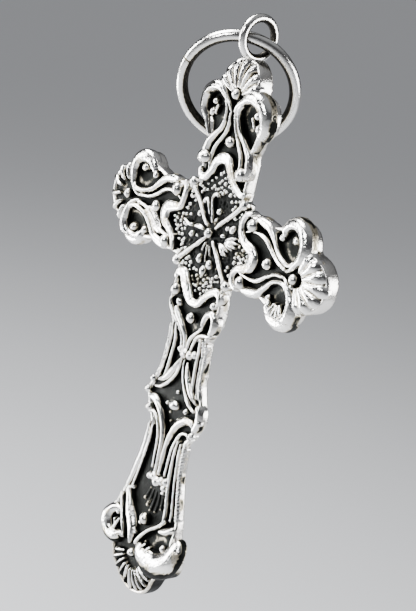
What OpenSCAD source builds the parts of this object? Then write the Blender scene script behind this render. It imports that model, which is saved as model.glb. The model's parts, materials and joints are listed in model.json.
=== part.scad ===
/* [Cross] */
// Half of the centre square: every ornament is placed in multiples of it
half_panel = 3.5; // [3.3:0.1:3.8]
// Thickness of the cross plate under the ornament
plate_t = 0.85; // [0.7:0.05:1.2]
// Height that the ribbons and scrolls stand above the plate
ribbon_h = 0.5; // [0.3:0.05:0.7]
// Height that the flutes and small ribs stand above the plate
rib_h = 0.36; // [0.2:0.02:0.5]
// Height that the volutes and shells stand above the plate at the ends of the cross
volute_h = 0.8; // [0.5:0.05:1]

/* [Beads] */
// Radius of the large beads at the corners, fields and tips
bead_r = 0.5; // [0.4:0.02:0.56]
// Radius of one grain of the granulated ground
grain_r = 0.16; // [0.12:0.01:0.2]
// Rows of grains in each quarter of the centre square
grain_rows = 4; // [2:1:5]

/* [Eyelet and jump ring] */
// Mean radius of the eyelet
eyelet_r = 1.6; // [1.55:0.05:1.7]
// Wire radius of the eyelet
eyelet_wire_r = 0.35; // [0.3:0.01:0.38]
// Mean radius of the jump ring
ring_r = 4.65; // [4.6:0.05:4.7]
// Wire radius of the jump ring
ring_wire_r = 0.49; // [0.4:0.01:0.49]
// How far the jump ring is turned about the vertical, away from facing forward
ring_turn = 46.08; // [45:0.5:47]
// How far the top of the jump ring leans forward
ring_lean = 21.57; // [21:0.5:22.5]

/* [Hidden] */
$fn = 48;

m = half_panel;
// Levels along Y, where the front is -Y: the plate's back, its front face and the panel's front face
back_y = 1.3;
ground_y = back_y - plate_t;
panel_t = 0.12;
panel_y = ground_y - panel_t;
// The eyelet's centre over the crossing, which is where the row's origin lies
eyelet_up = 16.14;
eyelet_back = 0.585;
// The jump ring's centre, seen from the crossing
ring_centre = [-1.699, 1.107, 11.754];
// How far the top arm's tip bead lies beyond the side arms' ones
top_reach = 0.15;
right_arm = 0;
top_arm = 90;
left_arm = 180;
silver = [0.86, 0.85, 0.82];
bright = [0.94, 0.93, 0.90];
oxide = [0.16, 0.16, 0.17];

// A smooth curve through control points, with `steps` pieces between each two of them
steps = 4;
function ends(p, i) = p[max(0, min(len(p) - 1, i))];
function bend(a, b, c, d, t) =
    0.5 * (2 * b + (c - a) * t + (2 * a - 5 * b + 4 * c - d) * t * t + (3 * b - a - 3 * c + d) * t * t * t);
function curve(p) = [
    for (i = [0 : len(p) - 2]) for (k = [0 : steps - 1])
        bend(ends(p, i - 1), p[i], p[i + 1], ends(p, i + 2), k / steps),
    p[len(p) - 1]
];
function side(p, i) =
    let (d = ends(p, i + 1) - ends(p, i - 1)) [-d[1], d[0]] / norm(d);
// Half width at point i of n: full in the middle and `tip` of that at both ends
function taper(i, n, w, tip) = w / 2 * (tip + (1 - tip) * sin(180 * i / (n - 1)));
function mirrored(p) = concat(p, [for (i = [len(p) - 2 : -1 : 0]) [p[i][0], -p[i][1]]]);
function across(p) = [for (q = p) [q[1], q[0]]];

// A flat band along a curve, in multiples of the module, tapered towards both ends
module band(points, width, tip = 0.5) {
    p = curve(points);
    n = len(p);
    polygon(m * concat(
        [for (i = [0 : n - 1]) p[i] + side(p, i) * taper(i, n, width, tip)],
        [for (i = [n - 1 : -1 : 0]) p[i] - side(p, i) * taper(i, n, width, tip)]
    ));
}
// Stands a flat outline up on the plate's front, `height` proud of it
module raised(height, level = ground_y)
    translate([0, level, 0]) rotate([90, 0, 0]) linear_extrude(height) children();
module at_crossing() translate([0, -eyelet_back, -eyelet_up]) children();
module on_arm(angle) rotate([0, -angle, 0]) children();
module both_sides() {
    children();
    mirror([1, 0, 0]) children();
}
module both_edges() {
    children();
    mirror([0, 0, 1]) children();
}
// A round bead with a flat foot on the plate, at u, v in multiples of the module
module bead(u, v, r, level = ground_y, lift = 0.5)
    translate([u * m, level, v * m])
        intersection() {
            translate([0, -lift * r, 0]) sphere(r);
            translate([-2 * r, -2 * r, -2 * r]) cube([4 * r, 2 * r, 4 * r]);
        }
// The same bead on a round stem of height `stem`
module stemmed_bead(u, v, r, stem) {
    bead(u, v, r, ground_y - stem);
    translate([u * m, ground_y, v * m]) rotate([90, 0, 0]) cylinder(stem, r = r * 0.8);
}
module disc(u, v, r) translate([u * m, v * m]) circle(r * m);
module torus(mean_r, wire_r) rotate_extrude() translate([mean_r, 0]) circle(wire_r);
module eyelet_wire() rotate([0, 90, 0]) torus(eyelet_r, eyelet_wire_r);

// ---- plate ----
module plate() raised(plate_t, back_y) children();
module arm_plate() {
    plate() polygon(m * mirrored([[0.9, 0.86], [1.7, 0.88], [2.1, 0.84], [2.5, 0.95], [3.1, 1.0], [3.5, 0.66]]));
    plate() disc(2.92, 0.68, 0.52);
    plate() disc(2.92, -0.68, 0.52);
    plate() disc(3.52, 0, 0.66);
}
module shaft_plate() {
    plate() polygon(m * across(mirrored([
        [-0.9, 0.9], [-1.95, 0.95], [-2.45, 0.7], [-3.6, 0.82], [-4.0, 0.98], [-4.4, 1.15], [-4.8, 0.98],
        [-5.15, 0.74], [-5.9, 0.8], [-7.2, 1.16], [-8.0, 1.3], [-8.9, 0.9]
    ])));
    both_sides() plate() disc(0.96, -8.1, 0.53);
    plate() disc(0, -8.6, 0.95);
}
// The plate has a notch in its top edge, where the eyelet is soldered in
module cross_plate()
    color(oxide) difference() {
        at_crossing() union() {
            plate() square(2.04 * m, center = true);
            for (k = [0 : 2]) on_arm(90 * k) arm_plate();
            shaft_plate();
        }
        eyelet_wire();
    }

// ---- centre square ----
module centre_panel()
    color(oxide) at_crossing() raised(panel_t) square(2 * m, center = true);
module centre_boss()
    color(bright) at_crossing()
        difference() {
            bead(0, 0, bead_r * 1.05, panel_y);
            translate([0, panel_y - bead_r * 1.7, 0]) sphere(bead_r * 0.4);
        }
module ray(angle)
    color(silver) at_crossing()
        raised(ribbon_h * 0.7, panel_y) rotate(angle) band([[0.18, 0], [0.7, 0], [1.22, 0]], 0.13, 0.8);
module ray_upper_right() ray(45);
module ray_upper_left() ray(135);
module ray_lower_left() ray(225);
module ray_lower_right() ray(315);
module ray_beads()
    color(bright) at_crossing()
        for (k = [0 : 3]) on_arm(45 + 90 * k) bead(1.34, 0, bead_r * 0.8, panel_y);
// A bud between two leaves on a stem, pointing outwards from the boss
module spray(angle)
    color(silver) at_crossing() on_arm(angle) {
        raised(rib_h * 0.7, panel_y) band([[0.2, 0], [0.45, 0], [0.62, 0]], 0.09, 0.6);
        bead(0.76, 0, bead_r * 0.6, panel_y);
        both_edges() {
            raised(rib_h * 0.7, panel_y) band([[0.24, 0.07], [0.42, 0.13], [0.52, 0.17]], 0.07, 0.6);
            bead(0.6, 0.22, bead_r * 0.4, panel_y);
        }
    }
module spray_top() spray(top_arm);
module spray_left() spray(left_arm);
module spray_right() spray(right_arm);
module spray_bottom() spray(270);
module granulation()
    color(silver) at_crossing()
        for (k = [0 : 3]) on_arm(90 * k)
            for (row = [0 : grain_rows - 1]) for (i = [-row / 2 - 1 : row / 2 + 1])
                if (abs(i) > 0.6 || row > 2)
                    bead(0.62 + 0.1 * row, 0.12 * i + (row > 2 ? 0 : 0.21 * sign(i)), grain_r, panel_y);

// ---- brackets between the square and the arms ----
module bracket(angle, half)
    color(bright) at_crossing() on_arm(angle) raised(ribbon_h) band(mirrored(half), 0.2, 0.6);
side_bracket = [[1.34, 0.84], [1.16, 0.84], [1.08, 0.62], [1.2, 0.36], [1.5, 0.26], [1.72, 0.17], [1.76, 0]];
long_bracket = [[1.32, 0.88], [1.17, 0.76], [1.3, 0.54], [1.58, 0.36], [1.78, 0.16], [1.83, 0]];
module bracket_top() bracket(top_arm, long_bracket);
module bracket_left() bracket(left_arm, side_bracket);
module bracket_right() bracket(right_arm, side_bracket);
module bracket_bottom() bracket(270, long_bracket);

// ---- beads ----
module corner_beads()
    color(bright) at_crossing() {
        for (k = [0, 2]) on_arm(90 * k) both_edges() bead(1.5, 0.67, bead_r);
        both_sides() bead(0.71, 1.64, bead_r);
        both_sides() bead(0.8, -1.62, bead_r);
    }
module field_beads()
    color(bright) at_crossing() {
        for (k = [0 : 2]) on_arm(90 * k) bead(2.2, 0, bead_r);
        bead(0, -2.12, bead_r);
    }
module tip_beads()
    color(bright) at_crossing() {
        both_sides() stemmed_bead(3.26, 0, bead_r, 0.35);
        stemmed_bead(0, 3.26 + top_reach, bead_r, 0.35);
    }

// ---- arms ----
module scrolls(angle)
    color(silver) at_crossing() on_arm(angle) both_edges() {
        raised(ribbon_h) band([[1.78, 0.44], [1.98, 0.52], [2.2, 0.46], [2.42, 0.28], [2.7, 0.13], [3.02, 0.1]], 0.1);
        raised(ribbon_h * 0.8) band([[1.78, 0.72], [2.05, 0.74], [2.3, 0.56], [2.55, 0.36], [2.85, 0.25]], 0.1);
    }
module scrolls_top() scrolls(top_arm);
module scrolls_left() scrolls(left_arm);
module scrolls_right() scrolls(right_arm);
module volutes(angle)
    color(bright) at_crossing() on_arm(angle) both_edges() {
        raised(volute_h)
            band([[3.1, 0.3], [3.34, 0.5], [3.36, 0.84], [3.14, 1.05], [2.82, 1.06], [2.54, 0.9], [2.44, 0.7]], 0.24);
        bead(2.86, 0.66, bead_r * 0.7);
    }
module volutes_top() volutes(top_arm);
module volutes_left() volutes(left_arm);
module volutes_right() volutes(right_arm);
module shell(angle)
    color(bright) at_crossing() on_arm(angle) translate([3.45 * m, 0, 0])
        for (k = [-3 : 3]) raised(volute_h * 0.75) rotate(20 * k) band([[0.16, 0], [0.45, 0], [0.7, 0]], 0.14, 0.4);
// The top shell makes room for its tip bead, which lies further out, and for the eyelet
module shell_top() difference() {
    shell(top_arm);
    eyelet_wire();
    at_crossing() translate([0, ground_y, (3.26 + top_reach) * m]) rotate([90, 0, 0]) cylinder(2, r = bead_r);
}
module shell_left() shell(left_arm);
module shell_right() shell(right_arm);

// ---- shaft ----
module shaft_hooks()
    color(bright) at_crossing() both_sides()
        raised(ribbon_h) band([[0.46, -2.0], [0.52, -1.84], [0.72, -1.9], [0.8, -2.06]], 0.12);
module shaft_scrolls_upper()
    color(silver) at_crossing() both_sides() {
        raised(ribbon_h) band([[0.6, -2.16], [0.36, -2.34], [0.17, -2.56], [0.09, -2.82]], 0.1);
        raised(ribbon_h * 0.8) band([[0.62, -2.36], [0.42, -2.5], [0.27, -2.68], [0.22, -2.84]], 0.08);
    }
module bow(v)
    color(bright) at_crossing() {
        bead(0, v, bead_r * 0.86);
        both_sides() {
            bead(0.22, v + 0.02, bead_r * 0.64);
            bead(0.36, v + 0.03, bead_r * 0.4);
        }
    }
module bow_upper() bow(-3.0);
module bow_lower() bow(-6.42);
// Parallel ridges along one edge of the shaft; `spread` is the step outwards from one to the next
module flutes(edge, spread)
    color(silver) at_crossing()
        for (k = [0 : 2]) raised(rib_h) band([for (p = edge) p + [spread * k, 0]], 0.08, 0.4);
upper_edge = [[0.52, -2.62], [0.56, -3.2], [0.58, -3.7]];
lower_edge = [[0.52, -5.3], [0.56, -6.0], [0.86, -7.1]];
module flutes_upper_right() flutes(upper_edge, 0.1);
module flutes_upper_left() mirror([1, 0, 0]) flutes(upper_edge, 0.1);
module flutes_lower_right() flutes(lower_edge, 0.11);
module flutes_lower_left() mirror([1, 0, 0]) flutes(lower_edge, 0.11);
module leaf_swags()
    color(bright) at_crossing() both_sides()
        raised(ribbon_h) band([[0.08, -3.2], [0.14, -3.6], [0.34, -3.98], [0.8, -4.2]], 0.2, 0.3);
module knop_beads()
    color(bright) at_crossing() {
        both_sides() {
            bead(0.98, -4.24, bead_r * 0.66);
            bead(1.04, -4.52, bead_r * 0.66);
            bead(0.84, -4.82, bead_r * 0.6);
            bead(0.38, -4.36, bead_r * 0.5);
        }
        bead(0, -4.06, bead_r * 0.5);
        bead(0.08, -4.36, bead_r * 0.86);
        bead(-0.14, -4.6, bead_r * 0.46);
    }
module shaft_scrolls_lower()
    color(silver) at_crossing() both_sides() {
        raised(ribbon_h)
            band([[0.66, -4.6], [0.46, -4.64], [0.26, -4.84], [0.12, -5.2], [0.08, -5.7], [0.08, -6.2]], 0.12);
        raised(ribbon_h * 0.8) band([[0.62, -4.88], [0.42, -5.02], [0.3, -5.3], [0.26, -5.8]], 0.08);
    }

// ---- foot ----
module foot_ribs()
    color(silver) at_crossing()
        for (k = [-2 : 2]) raised(rib_h * 0.8) band([[0.16 * k, -6.72], [0.17 * k, -7.0], [0.18 * k, -7.3]], 0.08, 0.4);
module foot_bead() color(bright) at_crossing() bead(0, -7.6, bead_r * 1.1);
module foot_bands()
    color(bright) at_crossing() both_sides()
        raised(ribbon_h) band([[1.0, -7.24], [0.68, -7.5], [0.38, -7.82], [0.14, -8.06]], 0.2, 0.4);
module foot_volutes()
    color(bright) at_crossing() both_sides() {
        raised(volute_h)
            band([[0.34, -8.14], [0.46, -8.42], [0.8, -8.52], [1.16, -8.4], [1.34, -8.08], [1.24, -7.76]], 0.26);
        bead(0.88, -8.02, bead_r * 0.8);
    }
module foot_shell_bead() color(bright) at_crossing() stemmed_bead(0, -8.42, bead_r * 0.9, 0.35);
module foot_shell()
    color(bright) at_crossing() translate([0, 0, -8.55 * m])
        for (k = [-3 : 3]) raised(volute_h * 0.75) rotate(270 + 17 * k)
            band([[abs(k) > 2 ? 0.5 : 0.24, 0], [0.6, 0], [0.92, 0]], 0.15, 0.4);

// ---- eyelet and jump ring ----
module eyelet() color(bright) eyelet_wire();
module jump_ring()
    color(bright) at_crossing()
        translate(ring_centre) rotate([90 + ring_lean, 0, ring_turn]) torus(ring_r, ring_wire_r);

cross_plate();
centre_panel();
centre_boss();
ray_upper_right();
ray_upper_left();
ray_lower_left();
ray_lower_right();
ray_beads();
spray_top();
spray_left();
spray_right();
spray_bottom();
granulation();
bracket_top();
bracket_left();
bracket_right();
bracket_bottom();
corner_beads();
field_beads();
tip_beads();
scrolls_top();
scrolls_left();
scrolls_right();
volutes_top();
volutes_left();
volutes_right();
shell_top();
shell_left();
shell_right();
shaft_hooks();
shaft_scrolls_upper();
bow_upper();
flutes_upper_left();
flutes_upper_right();
leaf_swags();
knop_beads();
shaft_scrolls_lower();
bow_lower();
flutes_lower_left();
flutes_lower_right();
foot_ribs();
foot_bead();
foot_bands();
foot_volutes();
foot_shell_bead();
foot_shell();
eyelet();
jump_ring();
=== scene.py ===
"""Looks of a small silver cross pendant: modelled relief over the CAD plate, black patina in the recesses."""
import json
import math

import bpy
import numpy as np
from mathutils import Matrix, Vector, kdtree, noise


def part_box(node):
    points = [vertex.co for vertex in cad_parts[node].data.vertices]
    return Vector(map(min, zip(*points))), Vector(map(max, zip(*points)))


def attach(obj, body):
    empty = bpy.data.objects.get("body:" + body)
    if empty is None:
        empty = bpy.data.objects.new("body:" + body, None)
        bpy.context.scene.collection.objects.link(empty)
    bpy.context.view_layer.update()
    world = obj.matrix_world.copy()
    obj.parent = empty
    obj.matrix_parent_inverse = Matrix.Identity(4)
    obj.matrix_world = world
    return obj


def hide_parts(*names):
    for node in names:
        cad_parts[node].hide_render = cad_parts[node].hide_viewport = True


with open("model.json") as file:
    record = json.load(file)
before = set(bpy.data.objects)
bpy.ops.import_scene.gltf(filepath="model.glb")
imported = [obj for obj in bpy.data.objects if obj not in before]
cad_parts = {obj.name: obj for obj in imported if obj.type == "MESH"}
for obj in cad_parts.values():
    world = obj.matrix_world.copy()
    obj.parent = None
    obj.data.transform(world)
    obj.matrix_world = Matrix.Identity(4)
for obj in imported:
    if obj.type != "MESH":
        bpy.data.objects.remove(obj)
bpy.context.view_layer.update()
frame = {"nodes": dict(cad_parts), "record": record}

MM = 0.001

# The design's own measures, read from the frame: half of the centre square, and where the crossing lies.
panel_lo, panel_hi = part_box("centre_panel")
plate_lo, plate_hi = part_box("cross_plate")
MODULE = (panel_hi.x - panel_lo.x) / 2 / MM
CROSSING = Vector((0, panel_hi.y, (panel_lo.z + panel_hi.z) / 2))
PLATE_T = (plate_hi.y - panel_hi.y) / MM

# Directions of the arms in the plane of the cross, in degrees from +X
RIGHT, TOP, LEFT, BOTTOM = 0, 90, 180, 270


# ---------------------------------------------------------------- plan and levels
# Plan places are (u, v) in modules from the crossing, u to the right and v up. Heights are in millimetres
# in front of the plate's flat front face.
DOME_H = 0.42
SHAFT_DEPTH = 0.34
KNOP_RISE = 0.16


def smooth(lo, hi, x):
    """0 at lo and 1 at hi, with an S curve between; hi may be the lower of the two."""
    t = np.clip((np.asarray(x, float) - lo) / (hi - lo), 0, 1)
    return t * t * (3 - 2 * t)


def blob(u, v, cu, cv, ru, rv):
    """1 at the centre of an ellipse, falling smoothly to 0 at its edge."""
    return 1 - smooth(0, 1, np.hypot((u - cu) / ru, (v - cv) / rv))


def level(u, v):
    """Height of the ground: the four ends are domed and the shaft is sunk between the knop and the ends."""
    u, v = np.asarray(u, float), np.asarray(v, float)
    along = np.maximum(np.abs(u), v)
    across = np.where(np.abs(u) > v, np.abs(v), np.abs(u))
    rise = smooth(2.2, 3.2, along)
    fall = 1 - 0.75 * smooth(3.55, 4.2, along)
    dome = DOME_H * rise * fall * (1 - 0.35 * smooth(0.6, 1.2, across))
    foot = DOME_H * smooth(-7.3, -8.1, v) * (1 - 0.85 * smooth(-8.7, -9.5, v))
    shaft = smooth(-2.2, -2.9, v) * smooth(-7.7, -6.9, v)
    knop = blob(u, v, 0, -4.4, 1.5, 0.75)
    return np.where(v > -1.0, dome, 0) + foot - shaft * (SHAFT_DEPTH - KNOP_RISE * knop)


# ---------------------------------------------------------------- mesh building
VOXEL = 0.055
SMOOTH_ROUNDS = 3

# In millimetres from the plate's edge: nearer than the first is on its rim, further than the second inside
RIM_NEAR, RIM_FAR = 0.15, 0.6


class Relief:
    """Collects closed shapes in plan modules and millimetre heights, then casts them as one piece."""

    def __init__(self):
        self.points, self.faces = [], []

    def add(self, points, faces):
        base = len(self.points)
        self.points.extend(points)
        self.faces.extend([tuple(base + i for i in f) for f in faces])

    def piece(self, name, node_name, material, voxel=VOXEL, dull=0.0):
        """Joins the shapes and rounds them as a casting does, then marks where handling has worn it bright,
        and paints shade on down-facing surfaces and at the foot.

        With voxel 0 they stay as they are. `dull` takes wear away, and adds some where it is below 0."""
        mesh = bpy.data.meshes.new(name)
        mesh.from_pydata([(u * MODULE, -h, v * MODULE) for u, v, h in self.points], [], self.faces)
        if voxel:
            mesh = remeshed(mesh, voxel, SMOOTH_ROUNDS)
        co, no = read_vectors(mesh)
        co = roughened(co, no)
        height = -co[:, 1] - level(co[:, 0] / MODULE, co[:, 2] / MODULE)
        facing = smooth(0.1, 0.72, -no[:, 1])
        polished = 0.62 * facing * smooth(0.1, 0.42, height)
        outer = 1 - smooth(RIM_NEAR, RIM_FAR, edge_distance(co))
        # Painted shade: the rim is darker where it faces down and at the foot, and lighter where it faces up.
        outer = outer * (1 - 0.85 * foot_shade(co)) * (1.0 + 0.57 * no[:, 2])
        # Painted shade on surfaces that face down at the foot, taken off below.
        under = foot_shade(co) * smooth(0.05, 0.5, -no[:, 2])
        wear_and_shade = 0.08 + polished + 0.42 * outer + ridges(mesh, co, no) - stains(co) - under - dull
        return place_piece(mesh, co, np.clip(wear_and_shade, 0, 1), name, node_name, material)


def remeshed(mesh, voxel, rounds):
    """A new mesh with even faces about one voxel wide, smoothed the given number of times."""
    work = bpy.data.objects.new("work", mesh)
    bpy.context.scene.collection.objects.link(work)
    remesh = work.modifiers.new("remesh", "REMESH")
    remesh.mode = "VOXEL"
    remesh.voxel_size = voxel
    even = work.modifiers.new("even", "SMOOTH")
    even.factor = 0.5
    even.iterations = rounds
    made = bpy.data.meshes.new_from_object(work.evaluated_get(bpy.context.evaluated_depsgraph_get()))
    bpy.data.objects.remove(work)
    made.materials.clear()
    return made


def read_vectors(mesh):
    """The places and the normals of a mesh's points, a row for each."""
    count = len(mesh.vertices)
    co, no = np.zeros(count * 3), np.zeros(count * 3)
    mesh.vertices.foreach_get("co", co)
    mesh.vertices.foreach_get("normal", no)
    return co.reshape(-1, 3), no.reshape(-1, 3)


def roughened(co, no, wave=0.03, pit=0.011):
    """The slight unevenness of a casting: shallow waves about a millimetre long, and finer ones on them."""
    shift = [wave * noise.noise(Vector(p) * 1.1) + pit * noise.noise(Vector(p) * 4.5) for p in co]
    return co + no * np.array(shift)[:, None]


def stains(co):
    """Patches of a millimetre or two where the patina has stayed on."""
    return 0.34 * smooth(0.08, 0.45, [noise.noise(Vector(p) * 0.85) for p in co])


def foot_shade(co):
    """1 at the very bottom of the cross, where the metal gets painted shade."""
    return smooth(-7.9, -8.5, co[:, 2] / MODULE)


RIDGE_GAIN = 13
RIDGE_ROUNDS = 8


def ridges(mesh, co, no):
    """How far each point stands out from its smoothed surroundings: above 0 on ridges, below 0 in grooves."""
    edges = np.zeros(len(mesh.edges) * 2, int)
    mesh.edges.foreach_get("vertices", edges)
    a, b = edges[0::2], edges[1::2]
    count = len(co)
    share = np.maximum(np.bincount(edges, minlength=count), 1)
    soft = co.copy()
    for _ in range(RIDGE_ROUNDS):
        sums = [np.bincount(a, soft[b, k], count) + np.bincount(b, soft[a, k], count) for k in range(3)]
        soft = np.column_stack(sums) / share[:, None]
    return np.clip(((co - soft) * no).sum(axis=1) * RIDGE_GAIN, -0.6, 0.4)


def plate_copy(voxel, rounds):
    """The CAD plate in millimetres about the crossing, remeshed."""
    mesh = frame["nodes"]["cross_plate"].data.copy()
    mesh.transform(Matrix.Scale(1 / MM, 4) @ Matrix.Translation(-CROSSING))
    return remeshed(mesh, voxel, rounds)


def edge_tree():
    """The plate's side walls, to tell how far inside the outline a point lies."""
    mesh = plate_copy(0.2, 0)
    co, no = read_vectors(mesh)
    wall = co[np.abs(no[:, 1]) < 0.3]
    tree = kdtree.KDTree(len(wall))
    for k, (x, _, z) in enumerate(wall):
        tree.insert((x, 0, z), k)
    tree.balance()
    bpy.data.meshes.remove(mesh)
    return tree


WALLS = edge_tree()


def edge_distance(co):
    """How far each point lies from the nearest side wall, seen from the front."""
    return np.array([WALLS.find((x, 0, z))[2] for x, z in co[:, (0, 2)]])


def place_piece(mesh, co, wear_and_shade, name, node_name, material):
    """Moves millimetre points about the crossing to the row's frame, and puts the piece in the scene."""
    mesh.vertices.foreach_set("co", (co * MM + np.array(CROSSING)).ravel())
    attribute = mesh.attributes.new("wear_and_shade", "FLOAT", "POINT")
    attribute.data.foreach_set("value", np.asarray(wear_and_shade, np.float32))
    mesh.update()
    return finish_piece(mesh, name, node_name, material, "pendant")


def finish_piece(mesh, name, node_name, material, body):
    """Links a finished mesh as the visual piece of one CAD node, riding its body."""
    mesh.polygons.foreach_set("use_smooth", [True] * len(mesh.polygons))
    mesh.materials.append(material)
    piece = bpy.data.objects.new(name, mesh)
    bpy.context.scene.collection.objects.link(piece)
    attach(piece, body)
    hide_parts(node_name)
    return piece


def catmull(points, pieces):
    """A smooth curve through control points of any dimension, `pieces` steps between each two."""
    p = np.array(points, float)
    p = np.vstack([2 * p[0] - p[1], p, 2 * p[-1] - p[-2]])
    out = []
    for i in range(1, len(p) - 2):
        a, b, c, d = p[i - 1:i + 3]
        for k in range(pieces):
            t = k / pieces
            out.append(0.5 * (2 * b + (c - a) * t + (2 * a - 5 * b + 4 * c - d) * t ** 2
                              + (3 * b - a - 3 * c + d) * t ** 3))
    return np.array(out + [p[-2]])


def resample(p, step):
    """Equal steps along a polyline, measured on its first two columns."""
    s = np.concatenate([[0], np.cumsum(np.linalg.norm(np.diff(p[:, :2], axis=0), axis=1))])
    n = max(6, int(s[-1] / step))
    at = np.linspace(0, s[-1], n + 1)
    return np.column_stack([np.interp(at, s, p[:, k]) for k in range(p.shape[1])]), at


def spun(points, angle):
    """Turns plan points about the crossing."""
    a = math.radians(angle)
    p = np.array(points, float)
    q = p.copy()
    q[:, 0] = p[:, 0] * math.cos(a) - p[:, 1] * math.sin(a)
    q[:, 1] = p[:, 0] * math.sin(a) + p[:, 1] * math.cos(a)
    return q


# Places across a ribbon's section, 0 in the middle and 1 at its foot
ACROSS = np.array([-1.0, -0.93, -0.8, -0.6, -0.32, 0, 0.32, 0.6, 0.8, 0.93, 1.0])
SINK = 0.3


def ribbon(relief, path, width, height, flat=2.2, lift=0.0):
    """A modelled strip with round ends along a plan path. Width is across its foot in modules and height in
    millimetres; either may be one number or a list with a value for each control point. `flat` above 2
    squares its shoulders."""
    ctrl = np.array(path, float)
    count = len(ctrl)
    widths = np.broadcast_to(np.array(width, float), (count,))
    heights = np.broadcast_to(np.array(height, float), (count,))
    p, at = resample(catmull(np.column_stack([ctrl[:, :2], widths, heights]), 8), 0.03)
    n = len(p)
    tangent = np.gradient(p[:, :2], axis=0)
    tangent /= np.linalg.norm(tangent, axis=1)[:, None]
    normal = np.column_stack([-tangent[:, 1], tangent[:, 0]])
    half = np.maximum(p[:, 2] / 2, 0.01)
    far = np.minimum(at, at[-1] - at)
    shut = np.sqrt(np.clip(1 - (1 - np.clip(far / (half * 1.2), 0, 1)) ** 2, 0, 1))
    shape = (1 - np.abs(ACROSS) ** flat) ** (1 / flat)
    points = []
    for i in range(n):
        place = p[i, :2] + normal[i] * half[i] * (0.1 + 0.9 * shut[i]) * ACROSS[:, None]
        base = level(place[:, 0], place[:, 1])
        top = base + lift + shape * p[i, 3] * (0.3 + 0.7 * shut[i])
        points.extend(np.column_stack([place, top]).tolist())
        for k in (len(ACROSS) - 1, 0):
            points.append([place[k, 0], place[k, 1], base[k] - SINK])
    ring = len(ACROSS) + 2
    faces = [tuple(range(ring))[::-1], tuple((n - 1) * ring + k for k in range(ring))]
    for i in range(n - 1):
        for k in range(ring):
            a, b = i * ring + k, i * ring + (k + 1) % ring
            faces.append((a, b, b + ring, a + ring))
    relief.add(points, faces)


def bead(relief, u, v, r, lift=0.35, base=None, rows=12, turns=20, long=1.0, angle=0.0):
    """A ball of radius r millimetres whose centre stands lift times r over the ground, on a round foot."""
    ground = float(level(u, v)) if base is None else base
    ca, sa = math.cos(math.radians(angle)), math.sin(math.radians(angle))
    points, faces = [], []
    for i in range(rows + 1):
        lat = math.pi * i / rows
        for k in range(turns):
            lon = 2 * math.pi * k / turns
            out = math.sin(lat) if lat < math.pi / 2 else max(math.sin(lat), 0.86)
            x, y = out * math.cos(lon) * long, out * math.sin(lon)
            z = math.cos(lat) * (r if lat < math.pi / 2 else lift * r + SINK)
            points.append((u + (x * ca - y * sa) * r / MODULE, v + (x * sa + y * ca) * r / MODULE,
                           ground + lift * r + z))
    for i in range(rows):
        for k in range(turns):
            a, b = i * turns + k, i * turns + (k + 1) % turns
            faces.append((a, a + turns, b + turns, b))
    faces.append(tuple(range(turns)))
    faces.append(tuple(rows * turns + k for k in range(turns))[::-1])
    relief.add(points, faces)


def arc(cu, cv, r, start, end, count):
    """Plan points along part of a circle, with the angles in degrees."""
    turns = np.radians(np.linspace(start, end, count))
    return [[cu + r * math.cos(t), cv + r * math.sin(t)] for t in turns]


# ---------------------------------------------------------------- materials
def node(tree, kind, **values):
    """A new shader node with some of its properties set."""
    made = tree.nodes.new(kind)
    for key, value in values.items():
        setattr(made, key, value)
    return made


def silver(name, bright, warm, patina, shine, clouds=0.42, specks=0.3):
    """Antiqued silver: the attribute of rubbed brightness and painted shade, broken up by noise, runs from
    black patina to polished metal.
    """
    material = bpy.data.materials.new(name)
    material.use_nodes = True
    tree = material.node_tree
    shader = tree.nodes["Principled BSDF"]
    shader.inputs["Metallic"].default_value = 1.0
    link = tree.links.new
    place = node(tree, "ShaderNodeTexCoord")
    wear_and_shade = node(tree, "ShaderNodeAttribute", attribute_name="wear_and_shade")
    cloud = noise_texture(tree, place, 1100, 6, 0.7)
    speckle = noise_texture(tree, place, 6500, 3, 0.6)
    clouded = node(tree, "ShaderNodeMath", operation="MULTIPLY_ADD")
    link(cloud.outputs["Fac"], clouded.inputs[0])
    clouded.inputs[1].default_value = clouds
    link(wear_and_shade.outputs["Fac"], clouded.inputs[2])
    mixed = node(tree, "ShaderNodeMath", operation="MULTIPLY_ADD")
    link(speckle.outputs["Fac"], mixed.inputs[0])
    mixed.inputs[1].default_value = specks
    link(clouded.outputs[0], mixed.inputs[2])
    tone = node(tree, "ShaderNodeValToRGB")
    link(mixed.outputs[0], tone.inputs["Fac"])
    ramp = tone.color_ramp
    ramp.elements[0].position, ramp.elements[0].color = 0.5, (*patina, 1)
    ramp.elements[1].position, ramp.elements[1].color = 0.98, (*bright, 1)
    for position, colour in ((0.66, [p * 2.6 for p in patina]), (0.8, warm)):
        stop = ramp.elements.new(position)
        stop.color = (*colour, 1)
    link(tone.outputs["Color"], shader.inputs["Base Color"])
    rough = node(tree, "ShaderNodeMapRange")
    rough.inputs["From Min"].default_value = 0.6
    rough.inputs["From Max"].default_value = 1.0
    rough.inputs["To Min"].default_value = 0.58
    rough.inputs["To Max"].default_value = shine
    link(mixed.outputs[0], rough.inputs["Value"])
    link(rough.outputs["Result"], shader.inputs["Roughness"])
    bump = node(tree, "ShaderNodeBump")
    bump.inputs["Strength"].default_value = 0.4
    bump.inputs["Distance"].default_value = 0.00005
    link(speckle.outputs["Fac"], bump.inputs["Height"])
    link(bump.outputs["Normal"], shader.inputs["Normal"])
    return material


def noise_texture(tree, place, scale, detail, roughness):
    texture = node(tree, "ShaderNodeTexNoise")
    texture.inputs["Scale"].default_value = scale
    texture.inputs["Detail"].default_value = detail
    texture.inputs["Roughness"].default_value = roughness
    tree.links.new(place.outputs["Object"], texture.inputs["Vector"])
    return texture


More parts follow.
